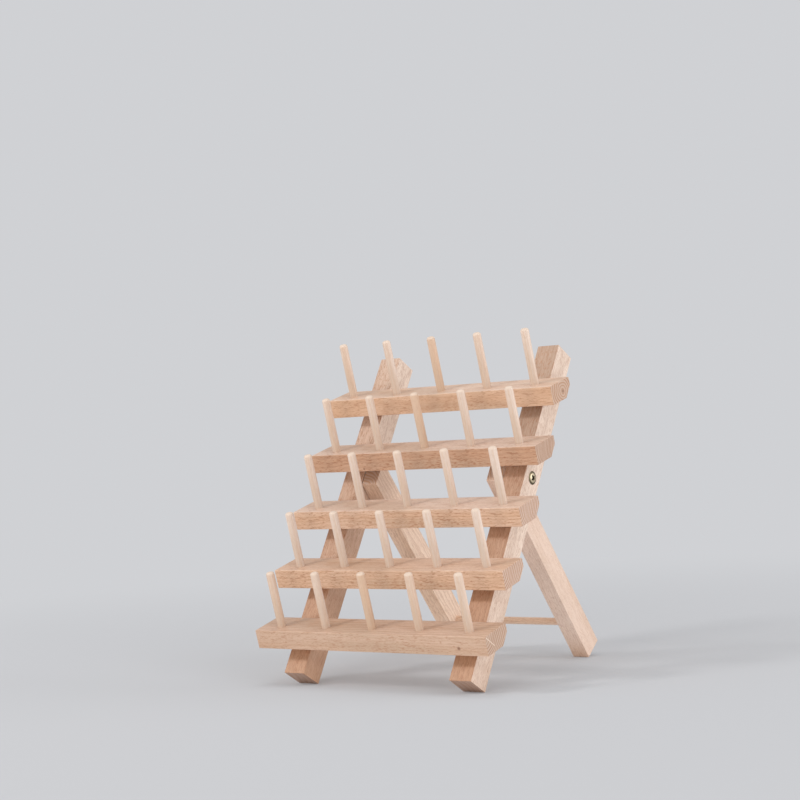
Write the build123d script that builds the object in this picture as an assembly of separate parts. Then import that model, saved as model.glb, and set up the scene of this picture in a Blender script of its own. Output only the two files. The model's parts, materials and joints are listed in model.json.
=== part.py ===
from build123d import *
import math
import os

# Bobbin display rack: five shelf bars with pegs, on two sloping rails, held up by a pair of
# rear legs that fold flat against the rails. Millimetres, +Z up, +X to the right, front at -Y.

# Shelf bars
shelf_count = 5
shelf_length = 145.0
shelf_depth = 19.4
shelf_thickness = 10.0
seat_width = 8.0            # slanted face, cut off the lower back corner, that lies on the rails
shelf_pitch = 34.9          # from one seat to the next, along the rails
shelf_to_rail_angle = 45.9  # between the pegs' direction and the rails

# Pegs
pegs_per_shelf = 5
peg_end_margin = 13.1       # from the shelf's end to its first peg
peg_diameter = 4.4
peg_height = 30.2           # above the shelf top
peg_setback = 6.7           # axis behind the shelf's front face
peg_tenon_diameter = 4.0    # turned-down foot, glued in the shelf
peg_tenon_length = 6.5
peg_tip_round = 1.4

# Front rails
rail_width = 13.0
rail_depth = 14.0
rail_end_margin = 20.0      # from the shelf's end to the rail's centre line
first_seat_height = 27.0    # from the rail's lower end to the top of the first seat
rail_top_margin = 25.8      # from the top of the last seat to the rail's upper end

# Rear legs
leg_width = 9.8
leg_depth = 13.4
leg_reach = 123.5           # from the pivot to the leg's lower end
opening_angle = 68.6        # between rails and legs when the rack stands open
leg_side_gap = 0.35         # between a leg and the rail beside it
leg_fold_gap = 0.4          # between a folded leg and the shelf seats
stop_shelf = 4              # shelf whose seat stops the legs
stop_overlap = 2.0          # how far the leg's head reaches over that seat
stop_gap = 0.15             # between the leg's head and that seat at rest

# Crossbar between the rear legs
crossbar_diameter = 4.0
crossbar_drop = 103.0       # from the pivot, along the legs
crossbar_socket = 6.0       # depth of its hole in each leg

# Pivot screws
screw_head_diameter = 7.0
screw_head_angle = 90.0
screw_shank_diameter = 3.5
screw_thread_diameter = 3.0
screw_length = 20.0         # from the rail's outer face to the tip
screw_head_rise = 0.7       # raised crown above the rail's outer face
screw_tip_length = 2.5
screw_tip_radius = 0.2
recess_width = 0.9          # of each wing of the cross recess
recess_span = 3.8           # across the wings, at the crown
recess_foot = 1.4           # across the wings, at their foot
recess_depth = 1.5
screw_clearance = 0.1       # running clearance between the screw and the rail

# Panel pins that hold the shelves
pin_diameter = 1.6
pin_head_diameter = 2.8
pin_head_thickness = 0.6
pin_bite = 7.5              # depth in the shelf

edge_round = 0.3
glue_gap = 0.03             # radial, round pegs, crossbar and pins in their holes

# Values that follow from those above
shelf_angle = math.radians(shelf_to_rail_angle)
opening = math.radians(opening_angle)
half_leg = leg_depth / 2
rail_length = first_seat_height + (shelf_count - 1) * shelf_pitch + rail_top_margin
peg_pitch = (shelf_length - 2 * peg_end_margin) / (pegs_per_shelf - 1)
rail_x = shelf_length / 2 - rail_end_margin
rail_inner_x = rail_x - rail_width / 2
rail_outer_x = rail_x + rail_width / 2
leg_outer_x = rail_inner_x - leg_side_gap
leg_x = leg_outer_x - leg_width / 2
leg_inner_x = leg_outer_x - leg_width


def seat_top(shelf):
    """Distance from the rail's lower end to the upper edge of a shelf's seat."""
    return first_seat_height + (shelf - 1) * shelf_pitch


def leg_cut(y):
    """Height of the slanted cut on the leg's head, above the pivot, at depth y in the leg."""
    return (pivot_depth - stop_gap + y * math.cos(opening)) / math.sin(opening)


# The pivot lies so that folded legs clear the seats and opened legs come to lie on one of them
pivot_depth = half_leg + leg_fold_gap
stop_edge = seat_top(stop_shelf) - seat_width + stop_overlap
pivot_height = stop_edge - half_leg * math.sin(opening) - leg_cut(half_leg) * math.cos(opening)

# The rails stand on their lower back edges and the legs on their lower front edges, both
# rounded, so the ground is parallel to the line between the centres of those roundings
rail_foot = (rail_depth - edge_round, edge_round)
leg_foot = (
    pivot_depth + (leg_reach - edge_round) * math.sin(opening) - (half_leg - edge_round) * math.cos(opening),
    pivot_height - (leg_reach - edge_round) * math.cos(opening) - (half_leg - edge_round) * math.sin(opening),
)
rail_lean = math.atan2(leg_foot[1] - rail_foot[1], leg_foot[0] - rail_foot[0])

# Frames: x to the right, y backwards through the piece, z up along it
rail_frame = Rot(X=-math.degrees(rail_lean))
leg_frame = rail_frame * Pos(0, pivot_depth, pivot_height) * Rot(X=opening_angle)


def shelf_frame(shelf):
    """Frame of a shelf, with its origin in the middle of the top face's front edge."""
    seat_rise = shelf_thickness - seat_width * math.cos(shelf_angle)
    on_rail = rail_frame * Pos(0, 0, seat_top(shelf)) * Rot(X=shelf_to_rail_angle)
    return on_rail * Pos(0, -shelf_depth, seat_rise)


def profile_bar(points, length, middle_x):
    """Bar along X with the given outline in Y and Z."""
    outline = Plane.YZ * make_face(Polyline(*points, close=True))
    return Pos(middle_x - length / 2, 0, 0) * extrude(outline, amount=length, dir=(1, 0, 0))


def rod(radius, length):
    """Round rod up from the origin."""
    return extrude(Circle(radius), amount=length)


def pin_place(side, shelf):
    """Frame of a pin, at the rail's back face, with z pointing forwards into the shelf."""
    middle = seat_top(shelf) - seat_width / 2
    return rail_frame * Pos(side * rail_x, rail_depth, middle) * Rot(X=90)


def pin_shape(grow):
    """Panel pin with a flat head sunk flush in the rail, larger all round by grow."""
    shank = rod(pin_diameter / 2 + grow, rail_depth + pin_bite + grow)
    head = rod(pin_head_diameter / 2 + grow, pin_head_thickness + grow)
    return shank + head


def peg_place(shelf, column):
    """Frame of a peg, where its shoulder stands on the shelf top."""
    x = (column - (pegs_per_shelf + 1) / 2) * peg_pitch
    return shelf_frame(shelf) * Pos(x, peg_setback, 0)


def make_shelf(shelf):
    seat_back = seat_width * math.sin(shelf_angle)
    seat_rise = seat_width * math.cos(shelf_angle)
    points = [
        (0, 0),
        (0, -shelf_thickness),
        (shelf_depth - seat_back, -shelf_thickness),
        (shelf_depth, seat_rise - shelf_thickness),
        (shelf_depth, 0),
    ]
    bar = profile_bar(points, shelf_length, 0)
    seat_middle = (0, shelf_depth - seat_back / 2, seat_rise / 2 - shelf_thickness)
    seat = bar.faces().sort_by_distance(seat_middle)[0]
    seat_edges = seat.edges().filter_by(Axis.X)
    free_edges = [edge for edge in bar.edges() if edge not in seat_edges]
    bar = fillet(free_edges, edge_round)
    bar = shelf_frame(shelf) * bar
    for column in range(1, pegs_per_shelf + 1):
        hole = rod(peg_tenon_diameter / 2 + glue_gap, peg_tenon_length)
        bar -= peg_place(shelf, column) * Pos(0, 0, -peg_tenon_length) * hole
    for side in (-1, 1):
        bar -= pin_place(side, shelf) * pin_shape(glue_gap)
    return bar


def make_peg(shelf, column):
    peg = rod(peg_diameter / 2, peg_height)
    tip = peg.edges().sort_by(Axis.Z)[-1]
    peg = fillet(tip, peg_tip_round)
    tenon = Pos(0, 0, -peg_tenon_length) * rod(peg_tenon_diameter / 2, peg_tenon_length)
    return peg_place(shelf, column) * (peg + tenon)


def screw_place(side):
    """Frame of a pivot screw, at the rail's outer face, with z pointing inwards."""
    return leg_frame * Pos(side * rail_outer_x, 0, 0) * Rot(Y=-90 * side)


def screw_outline(grow):
    """Half section of the screw, from its head to its tip, larger by grow."""
    head = screw_head_diameter / 2
    shank = screw_shank_diameter / 2
    thread = screw_thread_diameter / 2
    cone = (head - shank) / math.tan(math.radians(screw_head_angle / 2))
    in_rail = rail_width + leg_side_gap
    side = Polyline(
        (head + grow, 0),
        (shank + grow, cone),
        (shank + grow, in_rail),
        (thread + grow, in_rail),
        (thread + grow, screw_length - screw_tip_length),
        (screw_tip_radius + grow, screw_length),
        (0, screw_length),
    )
    crown = TangentArc((0, -screw_head_rise), (head + grow, 0), tangent=(1, 0))
    axis = Line((0, screw_length), (0, -screw_head_rise))
    return make_face([crown, side, axis])


def turned(outline):
    """Solid turned about Z from a half section drawn in X and Y, with Y becoming Z."""
    return revolve(Plane.XZ * outline, Axis.Z)


def make_rail(side):
    box = Pos(side * rail_x, rail_depth / 2, rail_length / 2) * Box(rail_width, rail_depth, rail_length)
    rail = rail_frame * fillet(box.edges(), edge_round)
    for shelf in range(1, shelf_count + 1):
        rail -= pin_place(side, shelf) * pin_shape(glue_gap)
    return rail - screw_place(side) * screw_sleeve()


def screw_sleeve():
    """Space that a pivot screw turns in, through the rail."""
    return turned(screw_outline(screw_clearance))


def make_leg(side):
    points = [
        (-half_leg, -leg_reach),
        (half_leg, -leg_reach),
        (half_leg, leg_cut(half_leg)),
        (-half_leg, leg_cut(-half_leg)),
    ]
    leg = profile_bar(points, leg_width, side * leg_x)
    leg = fillet(leg.edges(), edge_round)
    socket = rod(crossbar_diameter / 2 + glue_gap, crossbar_socket)
    leg -= Pos(side * leg_inner_x, 0, -crossbar_drop) * Rot(Y=90 * side) * socket
    leg = leg_frame * leg
    return leg - screw_place(side) * turned(screw_outline(glue_gap))


def screw_recess():
    """Cross recess: two crossed slots inside a cone that narrows from the crown to their foot."""
    upright = (Align.CENTER, Align.CENTER, Align.MIN)
    slots = Box(recess_span, recess_width, recess_depth, align=upright)
    slots += Box(recess_width, recess_span, recess_depth, align=upright)
    return slots & Cone(recess_span / 2, recess_foot / 2, recess_depth, align=upright)


def make_screw(side):
    recess = Pos(0, 0, -screw_head_rise) * screw_recess()
    return screw_place(side) * (turned(screw_outline(0)) - recess)


def make_crossbar():
    length = 2 * (leg_inner_x + crossbar_socket)
    bar = Rot(Y=90) * Pos(0, 0, -length / 2) * rod(crossbar_diameter / 2, length)
    return leg_frame * Pos(0, 0, -crossbar_drop) * bar


def make_pins():
    pins = []
    for side in (-1, 1):
        for shelf in range(1, shelf_count + 1):
            pins.append(pin_place(side, shelf) * pin_shape(0))
    return pins


sides = {"left": -1, "right": 1}
nodes = {}
for shelf in range(1, shelf_count + 1):
    nodes[f"shelf_{shelf}"] = [make_shelf(shelf)]
    for column in range(1, pegs_per_shelf + 1):
        nodes[f"peg_{shelf}_{column}"] = [make_peg(shelf, column)]
for name, side in sides.items():
    nodes[f"front_rail_{name}"] = [make_rail(side)]
    nodes[f"rear_leg_{name}"] = [make_leg(side)]
    nodes[f"pivot_screw_{name}"] = [make_screw(side)]
nodes["leg_crossbar"] = [make_crossbar()]
nodes["shelf_pins"] = make_pins()

# The origin is on the ground, under the middle of the standing rack
solids = [solid for node in nodes.values() for piece in node for solid in piece.solids()]
box = Compound(children=solids).bounding_box()
to_ground = Pos(0, -(box.min.Y + box.max.Y) / 2, -box.min.Z)

os.makedirs("parts", exist_ok=True)
for name, pieces in nodes.items():
    placed = [to_ground * solid for piece in pieces for solid in piece.solids()]
    shape = placed[0] if len(placed) == 1 else Compound(children=placed)
    export_step(shape, f"parts/{name}.step")

pivot = (to_ground * leg_frame).position
print("size", [round(v, 2) for v in box.size])
print("pivot Y Z", round(pivot.Y, 3), round(pivot.Z, 3))
print("rails lean back", round(math.degrees(rail_lean), 3))
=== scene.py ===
import bmesh
import bpy
import json
import math
from mathutils import Euler, Matrix, Vector


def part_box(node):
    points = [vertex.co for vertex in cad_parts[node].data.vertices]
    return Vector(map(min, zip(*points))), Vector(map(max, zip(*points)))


# Wooden display rack for bobbins and spools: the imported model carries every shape, and this
# script gives it its woods and metals, its stage, its lamps and its camera. Metres.

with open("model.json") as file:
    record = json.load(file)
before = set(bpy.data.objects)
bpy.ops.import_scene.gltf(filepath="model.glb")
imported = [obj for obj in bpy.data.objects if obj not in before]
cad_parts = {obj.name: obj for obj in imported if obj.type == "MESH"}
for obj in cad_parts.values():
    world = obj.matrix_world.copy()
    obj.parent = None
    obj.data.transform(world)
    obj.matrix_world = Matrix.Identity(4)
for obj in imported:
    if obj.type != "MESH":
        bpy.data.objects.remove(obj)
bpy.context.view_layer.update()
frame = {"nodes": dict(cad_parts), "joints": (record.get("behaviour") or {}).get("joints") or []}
nodes = frame["nodes"]
print("1 of 7: the packed rack is loaded,", len(nodes), "nodes")

mmPerMetre = 1000
pivot = Vector(frame["joints"][0]["pos_m"])

# Angles of the standing rack, in degrees
stance = {
    "railLean": 31.402,     # rails, away from upright, towards the back
    "legLean": 37.198,      # rear legs, away from upright, towards the front
    "shelfTilt": 14.498,    # shelves and pegs, towards the front
}

cameraPlan = {
    "place": (0.5511, -0.7871, 0.1327),
    "aim": (-0.0166, -0.0108, 0.1468),
    "roll": -3.16,          # degrees; the picture's right side is turned up
    "lens": 80.53,          # millimetres, on a sensor 36 wide
    "sensor": 36.0,
    "clip": (0.01, 50),     # nearest and farthest that it sees
}


def addObject(name, data):
    made = bpy.data.objects.new(name, data)
    bpy.context.scene.collection.objects.link(made)
    return made


# The matrix of a camera or lamp that stands at place and looks at aim
def lookAt(place, aim):
    place = Vector(place)
    turn = (Vector(aim) - place).to_track_quat("-Z", "Y").to_matrix().to_4x4()
    return Matrix.Translation(place) @ turn


def makeCamera(plan):
    data = bpy.data.cameras.new("camera")
    data.lens = plan["lens"]
    data.sensor_width = plan["sensor"]
    data.clip_start, data.clip_end = plan["clip"]
    camera = addObject("camera", data)
    roll = Matrix.Rotation(math.radians(plan["roll"]), 4, "Z")
    camera.matrix_world = lookAt(plan["place"], plan["aim"]) @ roll
    bpy.context.scene.camera = camera


makeCamera(cameraPlan)
print("2 of 7: the camera stands")


# Shader maths: a socket that takes part in Python sums, each sum being one Math node
class Signal:
    def __init__(self, finish, output):
        self.finish = finish
        self.output = output

    def maths(self, operation, first, second=None):
        inputs = {0: first} if second is None else {0: first, 1: second}
        return self.finish.node("ShaderNodeMath", {"operation": operation}, inputs)

    def __add__(self, other):
        return self.maths("ADD", self, other)

    __radd__ = __add__

    def __sub__(self, other):
        return self.maths("SUBTRACT", self, other)

    def __rsub__(self, other):
        return self.maths("SUBTRACT", other, self)

    def __mul__(self, other):
        return self.maths("MULTIPLY", self, other)

    __rmul__ = __mul__

    def __truediv__(self, other):
        return self.maths("DIVIDE", self, other)

    def __rtruediv__(self, other):
        return self.maths("DIVIDE", other, self)

    def __abs__(self):
        return self.maths("ABSOLUTE", self)

    def fraction(self):
        return self.maths("FRACT", self)

    def root(self):
        return self.maths("SQRT", self)

    def most(self, other):
        return self.maths("MAXIMUM", self, other)

    # A noise from 0 to 1 as a swing of this width about 0
    def swing(self, width):
        return (self - 0.5) * width

    # The first value where this is 0, the second where it is 1
    def between(self, first, second):
        return first + self * (second - first)

    # 0 below start, 1 above end, smooth between; a start above the end turns it round
    def rise(self, start, end):
        low, high = min(start, end), max(start, end)
        share = self.finish.node(
            "ShaderNodeMapRange",
            {"interpolation_type": "SMOOTHSTEP"},
            {"Value": self, "From Min": low, "From Max": high},
        )
        return share if end > start else 1 - share


# The nodes of a material or a world, each of them added by node()
class Finish:
    def __init__(self, owner):
        owner.use_nodes = True
        self.owner = owner
        self.tree = owner.node_tree
        self.tree.nodes.clear()

    # A list of outputs gives a list of signals
    def node(self, kind, settings, inputs, output=0):
        made = self.tree.nodes.new(kind)
        for name, value in settings.items():
            setattr(made, name, value)
        for name, value in inputs.items():
            if isinstance(value, Signal):
                self.tree.links.new(value.output, made.inputs[name])
            else:
                made.inputs[name].default_value = value
        if not made.outputs:
            return self.owner
        if isinstance(output, list):
            return [Signal(self, made.outputs[each]) for each in output]
        return Signal(self, made.outputs[output])

    def parts(self, vector, wanted="XYZ"):
        return self.node("ShaderNodeSeparateXYZ", {}, {0: vector}, list(wanted))

    def vectorMaths(self, operation, first, second, output="Vector"):
        inputs = {0: first, 1: second}
        return self.node("ShaderNodeVectorMath", {"operation": operation}, inputs, output)

    # A place in metres, as one in millimetres about the point that shift brings to 0
    def millimetres(self, place, shift=(0, 0, 0), turn=(0, 0, 0)):
        scale = (mmPerMetre, mmPerMetre, mmPerMetre)
        inputs = {"Vector": place, "Location": shift, "Rotation": turn, "Scale": scale}
        return self.node("ShaderNodeMapping", {"vector_type": "POINT"}, inputs)

    # Noise at a place of three parts, with one size for the first two and another for the last
    def noise(self, place, size, detail=1.0, rough=0.5, output=0):
        first, second, third = place
        wide, long = size
        vector = self.node(
            "ShaderNodeCombineXYZ", {}, {0: first / wide, 1: second / wide, 2: third / long}
        )
        return self.node(
            "ShaderNodeTexNoise",
            {"noise_dimensions": "3D"},
            {"Vector": vector, "Scale": 1.0, "Detail": detail, "Roughness": rough},
            output,
        )

    # A Mix node has its colours in inputs 6 and 7 and in output 2
    def mix(self, share, first, second):
        colours = {6: first, 7: second}
        for socket, colour in colours.items():
            if isinstance(colour, tuple):
                colours[socket] = (*colour, 1)
        return self.node("ShaderNodeMix", {"data_type": "RGBA"}, {0: share, **colours}, 2)

    # 1 where a ray shows the surface to the camera, straight or by way of another surface
    def shown(self):
        rays = ["Is Camera Ray", "Is Glossy Ray", "Is Transmission Ray"]
        camera, glossy, through = self.node("ShaderNodeLightPath", {}, {}, rays)
        return camera.most(glossy).most(through)

    def bump(self, height, relief):
        strength, distance = relief
        inputs = {"Strength": strength, "Distance": distance, "Height": height}
        return self.node("ShaderNodeBump", {}, inputs)

    def end(self, shader, kind="ShaderNodeOutputMaterial"):
        return self.node(kind, {}, {"Surface": shader})


# A wide pale floor that runs into the background far from the rack
stagePlan = {
    "floorRadius": 14.0,
    "floorSides": 96,
    "floorColour": (0.50, 0.512, 0.538),
    "floorBounce": (0.86, 0.86, 0.86),  # what the floor gives back to the rack
    "floorRoughness": 0.5,
    "backdrop": (0.63, 0.638, 0.66),
    "nearRadius": 0.08,     # inside this the floor is plain and takes shadows
    "nearGlow": 0.16,       # share of the backdrop's colour there, which keeps shadows soft
    "farRadius": 0.75,      # outside this it has the backdrop's own colour
    "floorDrop": 0.0001,
}


def makeFloor(plan):
    build = bmesh.new()
    bmesh.ops.create_circle(
        build, cap_ends=True, segments=plan["floorSides"], radius=plan["floorRadius"]
    )
    bmesh.ops.translate(build, verts=build.verts, vec=(0, 0, -plan["floorDrop"]))
    mesh = bpy.data.meshes.new("floor")
    build.to_mesh(mesh)
    build.free()
    floor = addObject("floor", mesh)
    paint = Finish(bpy.data.materials.new("floor"))
    x, y = paint.parts(paint.node("ShaderNodeTexCoord", {}, {}, "Object"), "XY")
    far = (x * x + y * y).root().rise(plan["nearRadius"], plan["farRadius"])
    shown = paint.shown()
    colour = paint.mix(shown, plan["floorBounce"], plan["floorColour"])
    plain = paint.node(
        "ShaderNodeBsdfDiffuse", {}, {"Color": colour, "Roughness": plan["floorRoughness"]}
    )
    glow = paint.node("ShaderNodeEmission", {}, {"Color": (*plan["backdrop"], 1), "Strength": 1.0})
    share = far.between(plan["nearGlow"], 1) * shown
    both = paint.node("ShaderNodeMixShader", {}, {0: share, 1: plain, 2: glow})
    floor.data.materials.append(paint.end(both))


makeFloor(stagePlan)

lampPlan = {
    "aim": (0, 0, 0.08),    # inside the rack, a little under half-way up
    "lamps": {
        "key": {"from": (1.30, -0.55, 0.62), "size": 0.9, "power": 4.0, "colour": (1, 1, 1)},
        "side": {"from": (1.15, 0.50, 0.34), "size": 0.9, "power": 4.7, "colour": (1, 0.99, 0.98)},
        "top": {"from": (0.05, -0.15, 0.95), "size": 0.32, "power": 1.2, "colour": (1, 1, 1)},
        "front": {"from": (-0.62, -0.95, 0.85), "size": 0.26, "power": 5.4, "colour": (1, 0.98, 0.96)},
        "low": {"from": (0.10, -1.30, 0.08), "size": 0.5, "power": 3.5, "colour": (1, 0.90, 0.82)},
    },
}


def makeLamps(plan):
    for name, lamp in plan["lamps"].items():
        data = bpy.data.lights.new(name, "AREA")
        data.shape = "DISK"
        data.size = lamp["size"]
        data.energy = lamp["power"]
        data.color = lamp["colour"]
        addObject(name, data).matrix_world = lookAt(lamp["from"], plan["aim"])


# The world lights the rack with one colour and shows another behind it
worldPlan = {"ambient": (1.0, 0.99, 0.98), "strength": 0.68}


def makeWorld(plan, backdrop):
    world = bpy.data.worlds.new("studio")
    bpy.context.scene.world = world
    paint = Finish(world)
    lit = paint.node(
        "ShaderNodeBackground", {}, {"Color": (*plan["ambient"], 1), "Strength": plan["strength"]}
    )
    seen = paint.node("ShaderNodeBackground", {}, {"Color": (*backdrop, 1), "Strength": 1.0})
    both = paint.node("ShaderNodeMixShader", {}, {0: paint.shown(), 1: lit, 2: seen})
    paint.end(both, "ShaderNodeOutputWorld")


makeLamps(lampPlan)
makeWorld(worldPlan, stagePlan["backdrop"])
bpy.context.scene.view_settings.view_transform = "Standard"
print("3 of 7: floor, lamps and world are set")

# Real sizes of the woods, which say where the grain's middle and the shelves' edges are
woodSizes = {
    "shelfThickness": 0.010,
    "shelfDepth": 0.0194,
    "legReach": 0.1235,     # from the pivot to the foot
}
# Each piece of wood has a frame of its own, in millimetres, with the grain along Z and 0 in its
# middle, which on a leg is half-way from the pivot to the foot. These turns lead to it (degrees).
grainTurns = {
    "shelf": (-stance["shelfTilt"], -90, 0),
    "bar": (0, -90, 0),
    "rail": (stance["railLean"], 0, 0),
    "leg": (-stance["legLean"], 0, 0),
    "peg": (-stance["shelfTilt"], 0, 0),
}


def middleOf(node, kind):
    low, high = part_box(node)
    if kind == "shelf":
        tilt = math.radians(stance["shelfTilt"])
        back = Vector((0, math.cos(tilt), math.sin(tilt)))
        up = Vector((0, -math.sin(tilt), math.cos(tilt)))
        topEdge = Vector((0, low.y, high.z - woodSizes["shelfDepth"] * math.sin(tilt)))
        return topEdge + back * woodSizes["shelfDepth"] / 2 - up * woodSizes["shelfThickness"] / 2
    if kind == "leg":
        lean = math.radians(stance["legLean"])
        down = Vector((0, math.sin(lean), -math.cos(lean)))
        top = Vector(((low.x + high.x) / 2, pivot.y, pivot.z))
        return top + down * woodSizes["legReach"] / 2
    return (low + high) / 2


# The place on a piece and the way that its face looks, both in the piece's own frame
def grainFrame(paint, node, kind):
    turn = Euler([math.radians(angle) for angle in grainTurns[kind]], "XYZ")
    shift = -(turn.to_matrix() @ (middleOf(node, kind) * mmPerMetre))
    place, normal = paint.node("ShaderNodeTexCoord", {}, {}, ["Object", "Normal"])
    facing = paint.node(
        "ShaderNodeMapping", {"vector_type": "VECTOR"}, {"Vector": normal, "Rotation": turn}
    )
    return paint.millimetres(place, shift, turn), facing


# Beech: growth rings about a pith, short dark flecks where the rays are cut, and fine fibres.
# A size is in millimetres, across the grain and along it. A depth is how much of a colour is
# laid over the rest. Limits are where a mark starts to show and where it shows in full.
beech = {
    "pale": (0.76, 0.60, 0.50),
    "tan": (0.635, 0.37, 0.20),
    "toneLimits": (-0.1, 1.1),
    "cloudSize": (12, 40),
    "cloudSwing": 0.5,      # how widely clouds of colour move the tone
    "yearSwing": 0.5,       # how widely it moves from ring to ring
    "grey": (0.50, 0.385, 0.29),
    "greyDepth": 0.45,
    "greyLimits": (0.45, 0.64),
    "sideTurn": (0.5, 0.9),     # how squarely a face looks across the grain to count as a side
    "endTurn": (0.55, 0.85),    # how squarely a face looks along the grain to count as an end
    "end": (0.53, 0.40, 0.32),
    "endDepth": 0.8,
    "wave": 1.6,            # how far the grain wanders (mm)
    "wanderSize": (8, 9),
    "sway": 4,              # how far the rings sway over a long stretch (mm)
    "swaySize": (14, 70),
    "line": (0.40, 0.19, 0.10),
    "ringDepth": 0.28,
    "endRingDepth": 0.95,
    "lateLimits": (0.25, 0.88),     # in the course of a year, from 0 to 1
    "winterLimits": (1.0, 0.92),    # its sharp step back at the year's end
    "yearSize": (5, 5),
    "yearShares": (0.3, 1.5),       # a weak and a strong year's share of the depth
    "fleck": (0.37, 0.16, 0.075),
    "fleckDepth": 0.66,
    "fleckSize": (0.42, 2.6),
    "fleckLimits": (0.57, 0.65),
    "crowdSize": (6, 18),
    "crowdSwing": 0.16,     # how much flecks crowd together
    "endQuiet": 0.6,        # how far flecks and fibres fade on the end grain
    "sideQuiet": 0.4,       # how far flecks fade on the sides
    "poreDepth": 0.34,
    "poreSize": (0.17, 1.5),
    "poreLimits": (0.60, 0.68),
    "fibreDepth": 0.30,
    "fibreSize": (0.40, 9.0),
    "fibreLimits": (0.42, 0.72),
    # Paler long edges of a shelf: partly sanding wear, partly a painted highlight
    "edge": (0.80, 0.62, 0.49),
    "edgeDepth": 0.08,
    "edgeLimits": (0.55, 0.15),     # millimetres from a shelf's long edges
    "edgeShares": (0.2, 1.8),
    "spot": (0.20, 0.085, 0.04),
    "spotSwing": 1.2,       # how ragged a spot's outline is (mm)
    "spotCore": 0.25,       # the share of its radius where it shows in full
    "scratch": (0.85, 0.72, 0.60),
    "scratchDepth": 0.8,
    "scratchCore": 0.3,
    "scratchTip": 0.3,      # how softly its ends fade (mm)
    "roughness": 0.52,
    "fibreRoughness": 0.18,
    "fleckRoughness": 0.06,
    # Fibres stand above the surface, and the others are sunk into it
    "heights": {"fibre": 0.5, "late": 0.3, "fleck": 0.35, "pore": 0.4},
    "relief": (0.2, 0.0002),    # the bump's strength, and its distance in metres
}


# Spots darken the wood round a centre: most are real marks, and the wide one on the left leg's head is
# painted shade
def addSpots(paint, colour, local, wander, grain, wood):
    for centre, radius, depth in grain.get("spots", []):
        away = paint.vectorMaths("DISTANCE", local, centre, "Value")
        mark = (away + wander.swing(wood["spotSwing"])).rise(radius, radius * wood["spotCore"])
        colour = paint.mix(mark * depth, colour, wood["spot"])
    return colour


def addScratches(paint, colour, local, grain, wood):
    for start, finish, width in grain.get("scratches", []):
        run = Vector(finish) - Vector(start)
        length = run.length
        run.normalize()
        gap = paint.vectorMaths("SUBTRACT", local, start)
        done = paint.vectorMaths("DOT_PRODUCT", gap, run, "Value")
        away = paint.vectorMaths("DISTANCE", local, start, "Value")
        beside = (away * away - done * done).most(0).root()
        tip = wood["scratchTip"]
        reach = done.rise(-tip, tip) * done.rise(length + tip, length - tip)
        mark = beside.rise(width, width * wood["scratchCore"]) * reach
        colour = paint.mix(mark * wood["scratchDepth"], colour, wood["scratch"])
    return colour
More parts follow.
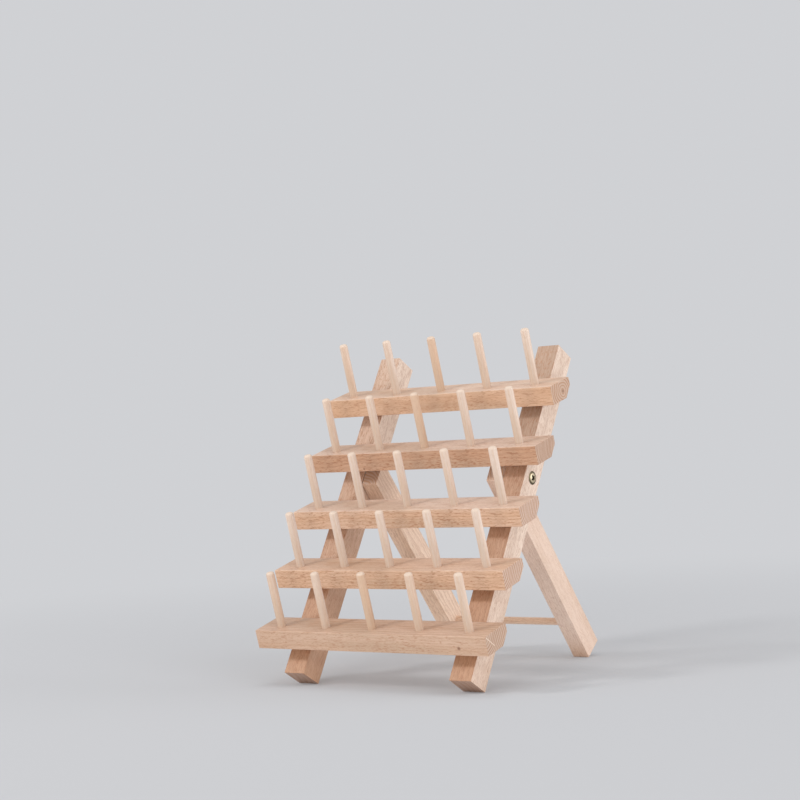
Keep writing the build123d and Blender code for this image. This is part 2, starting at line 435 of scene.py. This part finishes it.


# The wood of one piece. Its grain says how far the pith is from the middle (mm) and in what
# direction (degrees), the spacing of the rings (mm), the tone of its faces (0 pale to 1 tan), the
# tone of its sides (on a shelf, its top and bottom), which is painted light and shade, and how
# much paler it gets with each millimetre upwards, which is painted light too, how strong its rings
# are and how many flecks it has. Between two places along the grain (mm) its sides may be painted
# paler as painted light, and its front and back painted darker as painted shade. A spot has a
# centre, a radius and a depth, and a scratch has two ends and half a width.
def woodFinish(name, node, kind, grain, wood):
    paint = Finish(bpy.data.materials.new(name))
    local, facing = grainFrame(paint, node, kind)
    straight = paint.parts(local)
    straightAcross, straightOver, along = straight
    faceAcross, faceAlong = paint.parts(facing, "XZ")
    side = abs(faceAcross).rise(*wood["sideTurn"])
    endFace = abs(faceAlong).rise(*wood["endTurn"])

    # The grain wanders a little on its way along the piece
    wander = paint.noise(straight, wood["wanderSize"], output="Color")
    wanderAcross, wanderOver, wanderAlong = paint.parts(wander)
    wave = grain.get("wave", wood["wave"])
    across = straightAcross + wanderAcross.swing(wave)
    over = straightOver + wanderOver.swing(wave)
    place = (across, over, along)

    # Rings about the pith: a slow rise to the late wood, then a sharp step back
    bearing = math.radians(grain["bearing"])
    pithAcross = across + grain["pith"] * math.cos(bearing)
    pithOver = over + grain["pith"] * math.sin(bearing)
    slow = paint.noise(place, wood["swaySize"])
    sway = slow.swing(grain.get("sway", wood["sway"]))
    radius = (pithAcross * pithAcross + pithOver * pithOver).root() + sway
    year = (radius / grain["spacing"]).fraction()
    late = year.rise(*wood["lateLimits"]) * year.rise(*wood["winterLimits"])
    yearly = paint.noise((radius, 0, 0), wood["yearSize"])

    crowd = paint.noise(straight, wood["crowdSize"])
    ray = paint.noise(place, wood["fleckSize"], rough=0.4)
    fleck = (ray + crowd.swing(wood["crowdSwing"])).rise(*wood["fleckLimits"])
    pore = paint.noise(place, wood["poreSize"]).rise(*wood["poreLimits"])
    fibre = paint.noise(place, wood["fibreSize"], detail=2.0)
    cloud = paint.noise(place, wood["cloudSize"], detail=2.0)

    # The ground colour: its tone, with painted light and shade on its sides and upwards, grey
    # stretches, painted shade on its faces, and the end grain
    # Painted light and shade: a side's own tone makes lit tops and sides paler and shaded ones darker
    base = side.between(grain["tone"], grain.get("sideLightTone", grain["tone"]))
    # Painted light: the piece turns paler with each millimetre upwards
    base = base - along * grain.get("fade", 0)
    # Painted light: sides painted paler above a place along the grain
    for start, full, lift in grain.get("paintedLitSides", []):
        base = base - along.rise(start, full) * side * lift
    tone = base + cloud.swing(wood["cloudSwing"]) + yearly.swing(wood["yearSwing"])
    colour = paint.mix(tone.rise(*wood["toneLimits"]), wood["pale"], wood["tan"])
    colour = paint.mix(slow.rise(*wood["greyLimits"]) * wood["greyDepth"], colour, wood["grey"])
    # Painted shade: fronts and backs darker between two places along the grain
    for shadeName, start, full, depth in grain.get("paintedFaceShades", []):
        colour = paint.mix(along.rise(start, full) * (1 - side) * depth, colour, wood[shadeName])
    colour = paint.mix(endFace * wood["endDepth"], colour, wood["end"])

    # The marks over it: rings, flecks, fibres and pores
    rings = grain.get("rings", 1)
    faceDepth = wood["ringDepth"] * side.between(rings, grain.get("sideRings", rings))
    ringDepth = endFace.between(faceDepth, wood["endRingDepth"])
    colour = paint.mix(late * ringDepth * yearly.between(*wood["yearShares"]), colour, wood["line"])
    quiet = 1 - endFace * wood["endQuiet"]
    flecks = fleck * quiet * (1 - side * wood["sideQuiet"])
    colour = paint.mix(flecks * (wood["fleckDepth"] * grain["flecks"]), colour, wood["fleck"])
    fibreDepth = grain.get("fibreDepth", wood["fibreDepth"])
    fibres = fibre.rise(*wood["fibreLimits"]) * quiet * fibreDepth
    colour = paint.mix(fibres, colour, wood["line"])
    colour = paint.mix(pore * wood["poreDepth"], colour, wood["fleck"])

    # A shelf's long edges are eased, and painted paler: partly sanding wear, partly a painted
    # highlight
    if kind == "shelf":
        fromTop = woodSizes["shelfThickness"] * mmPerMetre / 2 - abs(straightAcross)
        fromFront = woodSizes["shelfDepth"] * mmPerMetre / 2 - abs(straightOver)
        edgeWearAndHighlight = fromTop.most(fromFront).rise(*wood["edgeLimits"]) * wood["edgeDepth"]
        colour = paint.mix(edgeWearAndHighlight * crowd.between(*wood["edgeShares"]), colour, wood["edge"])
    colour = addSpots(paint, colour, local, wanderAlong, grain, wood)
    colour = addScratches(paint, colour, local, grain, wood)

    rough = wood["roughness"] + fibre.swing(wood["fibreRoughness"]) - fleck * wood["fleckRoughness"]
    heights = wood["heights"]
    sunk = late * heights["late"] + fleck * heights["fleck"] + pore * heights["pore"]
    relief = paint.bump((fibre * heights["fibre"] - sunk) * quiet, wood["relief"])
    shader = paint.node(
        "ShaderNodeBsdfPrincipled", {}, {"Base Color": colour, "Roughness": rough, "Normal": relief}
    )
    return paint.end(shader)


# In a shelf's frame the first number is down through it, the second back, the third to the right
timber = {
    "shelf_1": {
        "kind": "shelf", "stock": "cool", "pith": 60, "bearing": 38, "spacing": 1.5,
        "tone": 0.70, "sideLightTone": 0.62, "flecks": 0.7, "rings": 0.6, "sideRings": 1.8,
        "spots": [((1.2, -9.7, 56), 1.6, 0.85)],
        "scratches": [((-4.4, -8.9, 72.5), (1.8, -3.2, 72.5), 0.27)],
    },
    "shelf_2": {
        "kind": "shelf", "stock": "rosy", "pith": 70, "bearing": 44, "spacing": 1.45,
        "tone": 0.60, "sideLightTone": 0.40, "flecks": 1.0, "sideRings": 2.0,
    },
    "shelf_3": {
        "kind": "shelf", "stock": "rosy", "pith": 65, "bearing": 50, "spacing": 1.4,
        "tone": 0.54, "sideLightTone": 0.05, "flecks": 1.0, "sideRings": 1.6,
    },
    "shelf_4": {
        "kind": "shelf", "stock": "brown", "pith": 90, "bearing": 58, "spacing": 1.35,
        "tone": 0.92, "sideLightTone": 0.22, "flecks": 1.3, "sideRings": 1.4,
        "spots": [((3.6, -9.7, -38), 1.0, 0.85)],
    },
    "shelf_5": {
        "kind": "shelf", "stock": "plain", "pith": 1.6, "bearing": -108, "spacing": 1.7,
        "tone": 0.72, "sideLightTone": 0.30, "flecks": 0.8, "sway": 2.5,
        "spots": [((0.5, 1.5, 72.5), 1.2, 0.85)],
    },
    # Painted light and shade on the rails: paler upwards, the left rail's side paler near the top, and
    # both fronts darker near the top
    "front_rail_left": {
        "kind": "rail", "stock": "rail", "pith": 75, "bearing": 8, "spacing": 3.1,
        "tone": 0.70, "sideLightTone": 0.60, "flecks": 1.0, "fibreDepth": 0.4, "rings": 0.5,
        "fade": 0.0035, "paintedLitSides": [(5, 34, 0.95)], "paintedFaceShades": [("grey", 45, 80, 0.42)],
    },
    "front_rail_right": {
        "kind": "rail", "stock": "rail", "pith": 68, "bearing": -6, "spacing": 2.6,
        "tone": 0.87, "sideLightTone": -0.15, "flecks": 1.0, "fibreDepth": 0.36, "rings": 0.7,
        "sideRings": 0.4, "fade": 0.004, "paintedFaceShades": [("grey", 20, 44, 0.95)],
    },
    "rear_leg_left": {
        "kind": "leg", "stock": "light", "pith": 20, "bearing": 60, "spacing": 2.0,
        "tone": 0.30, "sideLightTone": -0.05, "flecks": 0.5, "fibreDepth": 0.3, "rings": 0.8,
        "sideRings": 1.1, "sway": 9,
        # Painted shade: the wide dark spot on the head, under the shelf above it
        "spots": [((0, -6, 61), 20, 0.27)],
    },
    "rear_leg_right": {
        "kind": "leg", "stock": "cream", "pith": 50, "bearing": 200, "spacing": 1.6,
        "tone": 0.0, "sideLightTone": 0.36, "flecks": 0.35, "fibreDepth": 0.25, "rings": 0.4,
        # Painted shade: its front is darker near the foot and near the pivot
        "paintedFaceShades": [("tan", -38, -66, 0.65), ("tan", 36, 50, 0.3)],
    },
    "leg_crossbar": {
        "kind": "bar", "stock": "light", "pith": 30, "bearing": 30, "spacing": 1.5,
        "tone": 0.32, "flecks": 0.3, "rings": 0.5,
    },
}

# Stocks of beech, which differ from the plain one in a few values
stocks = {
    "plain": beech,
    "brown": {**beech, "tan": (0.54, 0.315, 0.195), "line": (0.32, 0.15, 0.08)},
    "rail": {
        **beech,
        "pale": (0.79, 0.645, 0.545),
        "tan": (0.54, 0.315, 0.195),
        "line": (0.32, 0.15, 0.08),
        "end": (0.41, 0.30, 0.25),
        "endRingDepth": 0.5,
        "grey": (0.47, 0.335, 0.25),
        "greyDepth": 0.18,
    },
    "cool": {
        **beech, "pale": (0.71, 0.55, 0.45), "tan": (0.54, 0.35, 0.235), "line": (0.38, 0.20, 0.12),
    },
    "rosy": {**beech, "end": (0.585, 0.46, 0.395)},
    # Painted light: a paler copy of beech that lifts the left leg and the crossbar out of their shade
    "light": {
        **beech,
        "pale": (0.92, 0.72, 0.58),
        "tan": (0.68, 0.40, 0.22),
        "line": (0.46, 0.24, 0.13),
        "greyDepth": 0.10,
    },
    # Painted light: a paler copy of beech that lifts the right leg out of its shade
    "cream": {
        **beech,
        "pale": (0.90, 0.73, 0.635),
        "tan": (0.57, 0.38, 0.26),
        "line": (0.50, 0.28, 0.16),
        "greyDepth": 0.05,
    },
}


def dress(node, material):
    slots = nodes[node].data.materials
    slots.clear()
    slots.append(material)
    for face in nodes[node].data.polygons:
        face.material_index = 0


for name, grain in timber.items():
    dress(name, woodFinish("beech_" + name, name, grain["kind"], grain, stocks[grain["stock"]]))
print("4 of 7: shelves, rails, legs and crossbar are beech")

# The pegs are turned from paler dowel, whose rounded tips count as its ends
dowel = {
    **beech,
    "pale": (0.745, 0.625, 0.55),
    "tan": (0.67, 0.475, 0.345),
    "line": (0.60, 0.39, 0.25),
    "fleck": (0.50, 0.31, 0.19),
    "end": (0.68, 0.55, 0.45),
    "wave": 0.6,
    "sway": 1.5,
    "ringDepth": 0.30,
    "endRingDepth": 0.0,
    "endTurn": (0.03, 0.35),
    "endQuiet": 1.0,
    "fleckDepth": 0.30,
    "poreDepth": 0.14,
    "fibreDepth": 0.22,
    "roughness": 0.48,
}
# A few pegs are honey-coloured, and the rest are a little off their row's tone. A deal gives each
# peg a whole number: the peg's own number times the first value, modulo the second.
pegPlan = {
    "rowTones": {1: 0.42, 2: 0.0, 3: 0.10, 4: 0.20, 5: 0.35},   # rows from the lowest up
    "columns": 5,
    "honey": {"peg_4_3", "peg_1_3", "peg_5_3"},
    "honeyTone": 0.95,
    "toneSwing": 0.2,
    "leastPith": 12,
    "leastSpacing": 1.1,
    "spacingStep": 0.25,
    "flecks": 0.6,
    "deals": {"tone": (13, 10), "pith": (7, 19), "bearing": (67, 360), "spacing": (1, 4)},
}


def pegGrain(name, order, rowTone, plan):
    dealt = {key: order * step % count for key, (step, count) in plan["deals"].items()}
    highest = plan["deals"]["tone"][1] - 1
    tone = rowTone + (dealt["tone"] / highest - 0.5) * plan["toneSwing"]
    return {
        "pith": plan["leastPith"] + dealt["pith"],
        "bearing": dealt["bearing"],
        "spacing": plan["leastSpacing"] + dealt["spacing"] * plan["spacingStep"],
        "tone": plan["honeyTone"] if name in plan["honey"] else tone,
        "flecks": plan["flecks"],
    }


def dressPegs(plan, wood):
    for row, rowTone in plan["rowTones"].items():
        for column in range(1, plan["columns"] + 1):
            name = f"peg_{row}_{column}"
            grain = pegGrain(name, row * plan["columns"] + column, rowTone, plan)
            dress(name, woodFinish("dowel_" + name, name, "peg", grain, wood))


dressPegs(pegPlan, dowel)
print("5 of 7: the pegs are dowel")

# Dulled brass for the screws: a pale crown inside a dark ring of painted shade round its edge, and a
# cross recess painted dark as painted shade. Radii are millimetres from the screw's axis, where a
# colour starts and where it is full.
screwPlan = {
    "crown": (0.72, 0.60, 0.42),
    "crownShade": (0.38, 0.31, 0.19),
    "crownRadius": 9.1,     # of the ball that the crown is a piece of
    # painted shade round the edge of the head
    "rimShade": (0.11, 0.085, 0.045),
    "rimShadeRadii": (2.30, 2.65),
    "rimShadeDepth": 0.9,
    # dirt and painted shade: darker towards the recess
    "dirtAndShadeRadii": (1.75, 0.95),      # dirt and shade about the recess
    "dirtAndShadeDepth": 0.75,
    # painted shade in the cross recess
    "recess": (0.035, 0.025, 0.015),
    "recessRadii": (2.3, 2.1),
    "recessSunk": (0.08, 0.35),     # millimetres below the crown
    "recessShadeDepth": 0.95,
    "stainSize": (1.1, 1.1),
    "stainLimits": (0.45, 0.75),
    "stainDepth": 0.5,
    "gritSize": (0.17, 0.17),
    "roughness": 0.42,
    "gritRoughness": 0.2,
    "recessRoughness": 0.2,
    "relief": (0.1, 0.0001),
}
pinPlan = {
    "wire": (0.55, 0.55, 0.54),
    "dull": (0.25, 0.25, 0.25),
    "dullSize": (1, 1),
    "dullLimits": (0.45, 0.75),
    "dullDepth": 0.6,
    "roughness": 0.35,
    "dullRoughness": 0.2,
}


def screwFinish(name, node, look):
    paint = Finish(bpy.data.materials.new(name))
    low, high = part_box(node)
    outward = 1 if low.x > 0 else -1
    top = Vector((high.x if outward > 0 else low.x, pivot.y, pivot.z)) * mmPerMetre
    place = paint.parts(paint.millimetres(paint.node("ShaderNodeTexCoord", {}, {}, "Object"), -top))
    x, y, z = place
    away = (y * y + z * z).root()
    crown = away * away / (2 * look["crownRadius"])
    sunk = x * -outward - crown
    stain = paint.noise(place, look["stainSize"], detail=3.0, rough=0.6)
    grit = paint.noise(place, look["gritSize"], detail=2.0)
    shade = stain.rise(*look["stainLimits"]) * look["stainDepth"]
    colour = paint.mix(shade, look["crown"], look["crownShade"])
    # Painted shade: the dark ring round the edge of the head
    colour = paint.mix(away.rise(*look["rimShadeRadii"]) * look["rimShadeDepth"], colour, look["rimShade"])
    # Dirt and painted shade: darker towards the recess
    colour = paint.mix(away.rise(*look["dirtAndShadeRadii"]) * look["dirtAndShadeDepth"], colour, look["rimShade"])
    recess = sunk.rise(*look["recessSunk"]) * away.rise(*look["recessRadii"])
    # Painted shade: the cross recess is painted nearly black
    colour = paint.mix(recess * look["recessShadeDepth"], colour, look["recess"])
    rough = look["roughness"] + grit.swing(look["gritRoughness"]) + recess * look["recessRoughness"]
    relief = paint.bump(grit, look["relief"])
    shader = paint.node(
        "ShaderNodeBsdfPrincipled",
        {},
        {"Base Color": colour, "Metallic": 1.0, "Roughness": rough, "Normal": relief},
    )
    return paint.end(shader)


def pinFinish(name, look):
    paint = Finish(bpy.data.materials.new(name))
    place = paint.parts(paint.millimetres(paint.node("ShaderNodeTexCoord", {}, {}, "Object")))
    dull = paint.noise(place, look["dullSize"], detail=3.0, rough=0.6)
    share = dull.rise(*look["dullLimits"]) * look["dullDepth"]
    colour = paint.mix(share, look["wire"], look["dull"])
    rough = look["roughness"] + dull.swing(look["dullRoughness"])
    shader = paint.node(
        "ShaderNodeBsdfPrincipled", {}, {"Base Color": colour, "Metallic": 1.0, "Roughness": rough}
    )
    return paint.end(shader)


for name in ("pivot_screw_left", "pivot_screw_right"):
    dress(name, screwFinish("brass_" + name, name, screwPlan))
dress("shelf_pins", pinFinish("pin_steel", pinPlan))
print("6 of 7: screws and pins are metal")
